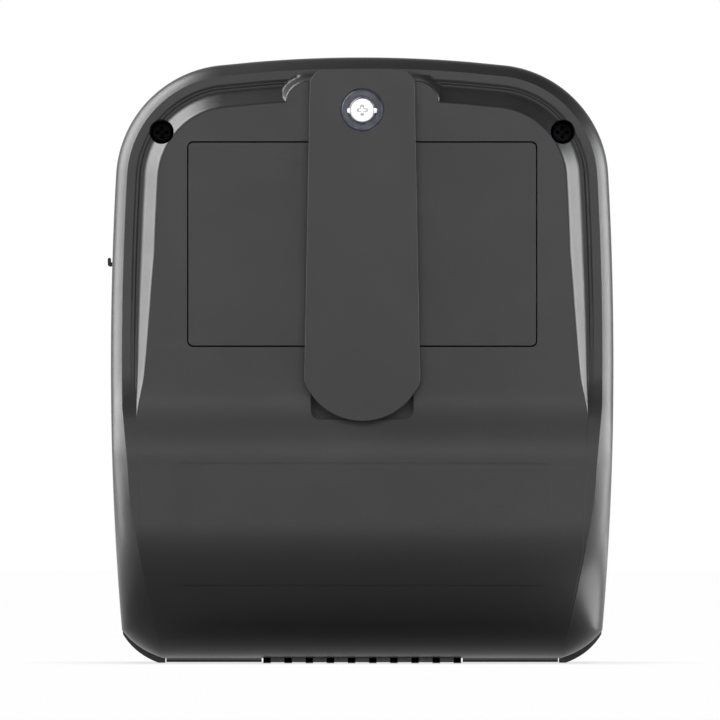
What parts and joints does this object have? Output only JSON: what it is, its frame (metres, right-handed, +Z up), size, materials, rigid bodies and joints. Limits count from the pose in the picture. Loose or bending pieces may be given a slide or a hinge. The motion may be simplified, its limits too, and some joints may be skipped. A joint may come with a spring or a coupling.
{
  "type": "portable receipt printer",
  "caption": "Dark grey battery-powered portable receipt printer standing on its hinge end, with a sprung belt clip, a battery door and a drop-in paper lid.",
  "frame": {"origin": "centre of the bounding box at its bottom face, on the surface it stands on", "axes": "+Z up to the rounded end, -Y out of the back with the clip, +Y out of the lid and control panel, +X to the right as the back is seen"},
  "size_m": [0.1088, 0.0608, 0.1303],
  "materials": {
    "case_plastic": "fine moulded grain, dark grey",
    "front_plastic": "fine moulded grain, darker grey",
    "inner_plastic": "smooth, near black",
    "key_plastic": "satin",
    "port_rubber": "matt",
    "platen_silicone": "ground smooth",
    "bright_steel": "bright nickel plate",
    "blued_steel": "blue-grey zinc",
    "screw_steel": "dark zinc",
    "spring_steel": "bright",
    "frame_steel": "zinc-plated sheet",
    "heat_sink_metal": "milled",
    "head_ceramic": "glazed ceramic",
    "insert_brass": "turned",
    "gear_nylon": "natural white",
    "battery_sleeve": "shrink sleeve",
    "board_green": "solder mask",
    "light_clear": "clear"
  },
  "bodies": {
    "root": {"rear_case": "case_plastic", "roll_bay": "inner_plastic", "top_case": "front_plastic", "case_screws": "screw_steel", "battery_pack": "battery_sleeve", "battery_contacts": "insert_brass", "clip_base": "blued_steel", "clip_bush": "blued_steel", "clip_screw": "bright_steel", "clip_insert": "insert_brass", "clip_pin": "bright_steel", "clip_spring": "spring_steel", "hinge_pin": "bright_steel", "print_frame": "frame_steel", "frame_screws": "screw_steel", "head_springs": "spring_steel", "stepper_motor": "frame_steel", "idler_stud": "bright_steel", "tear_bar": "spring_steel", "paper_sensor": "inner_plastic", "main_board": "board_green", "board_screws": "screw_steel", "usb_socket": "spring_steel", "cable_socket": "gear_nylon", "key_board": "board_green", "key_screws": "screw_steel", "tact_switches": "inner_plastic", "status_lights": "light_clear", "light_windows": "light_clear"},
    "door": {"battery_door": "case_plastic"},
    "clip": {"clip_arm": "case_plastic"},
    "lid": {"paper_lid": "front_plastic", "platen_bushes": "gear_nylon"},
    "platen": {"platen_shaft": "bright_steel", "platen_rubber": "platen_silicone", "platen_gear": "gear_nylon"},
    "idler": {"idler_gear": "gear_nylon"},
    "pinion": {"motor_pinion": "insert_brass"},
    "head": {"head_heat_sink": "heat_sink_metal", "thermal_head": "head_ceramic"},
    "power": {"power_button": "key_plastic"},
    "feed": {"feed_button": "key_plastic"},
    "release": {"release_button": "key_plastic"},
    "port": {"port_cover": "port_rubber"}
  },
  "joints": [
    {"name": "lid_hinge", "type": "hinge", "parent": "root", "child": "lid", "pos_m": [0, 0.0184, 0.0043], "axis": [-1, 0, 0], "range_deg": [0, 90]},
    {"name": "platen_spin", "type": "hinge", "parent": "lid", "child": "platen", "pos_m": [0, 0.0214, 0.062], "axis": [1, 0, 0], "continuous": true},
    {"name": "idler_spin", "type": "hinge", "parent": "root", "child": "idler", "pos_m": [0, 0.0105, 0.062], "axis": [1, 0, 0], "continuous": true},
    {"name": "pinion_spin", "type": "hinge", "parent": "root", "child": "pinion", "pos_m": [0, 0.00391, 0.06636], "axis": [1, 0, 0], "continuous": true},
    {"name": "head_pivot", "type": "hinge", "parent": "root", "child": "head", "pos_m": [0, 0.0144, 0.0602], "axis": [1, 0, 0], "range_deg": [0, 1.5], "stiffness_Nm_per_rad": 0.05, "springref_deg": -8.59, "deforming": ["head_springs"]},
    {"name": "clip_swing", "type": "hinge", "parent": "root", "child": "clip", "pos_m": [0, -0.0267, 0.112], "axis": [-1, 0, 0], "range_deg": [0, 8.5], "stiffness_Nm_per_rad": 0.15, "springref_deg": -20.05, "deforming": ["clip_spring"]},
    {"name": "door_slide", "type": "slide", "parent": "root", "child": "door", "axis": [0, -1, 0], "range_m": [0, 0.0025]},
    {"name": "release_press", "type": "slide", "parent": "root", "child": "release", "axis": [0, -1, 0], "range_m": [0, 0.0015], "stiffness_N_per_m": 600, "springref_m": -0.001},
    {"name": "power_press", "type": "slide", "parent": "root", "child": "power", "axis": [0, -1, 0], "range_m": [0, 0.0005], "stiffness_N_per_m": 1500, "springref_m": -0.0003},
    {"name": "feed_press", "type": "slide", "parent": "root", "child": "feed", "axis": [0, -1, 0], "range_m": [0, 0.0005], "stiffness_N_per_m": 1500, "springref_m": -0.0003},
    {"name": "port_flap", "type": "hinge", "parent": "root", "child": "port", "pos_m": [-0.0529, -0.0016, 0.0759], "axis": [0, -1, 0], "range_deg": [0, 90]}
  ],
  "couplings": [
    {"joint": "idler_spin", "follows": "platen_spin", "ratio": -1.25},
    {"joint": "pinion_spin", "follows": "platen_spin", "ratio": 2}
  ]
}
